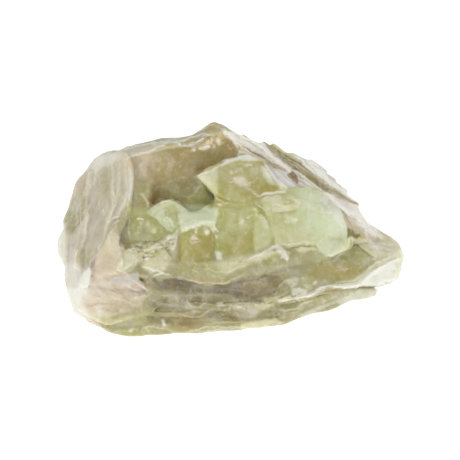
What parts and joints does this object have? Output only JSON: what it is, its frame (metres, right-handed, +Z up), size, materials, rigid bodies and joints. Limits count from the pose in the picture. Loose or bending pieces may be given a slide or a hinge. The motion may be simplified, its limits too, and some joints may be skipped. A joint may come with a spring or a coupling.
{
  "type": "rough green calcite",
  "caption": "Rough broken lump of cloudy pale green calcite: cleaved blocks in a hollow front, split sheets and ledges, lying on a flat face.",
  "frame": {"origin": "middle of the stone's box, on the surface that it rests on", "axes": "+X along the stone to its pointed end, -Y out of its broken front, +Z up"},
  "size_m": [0.0906, 0.0452, 0.0481],
  "materials": {
    "green_calcite": "cloudy, half see-through green to olive calcite, glassy on the cleavage faces and white along thin edges"
  },
  "bodies": {
    "root": {"calcite_lump": "green_calcite"}
  },
  "joints": []
}
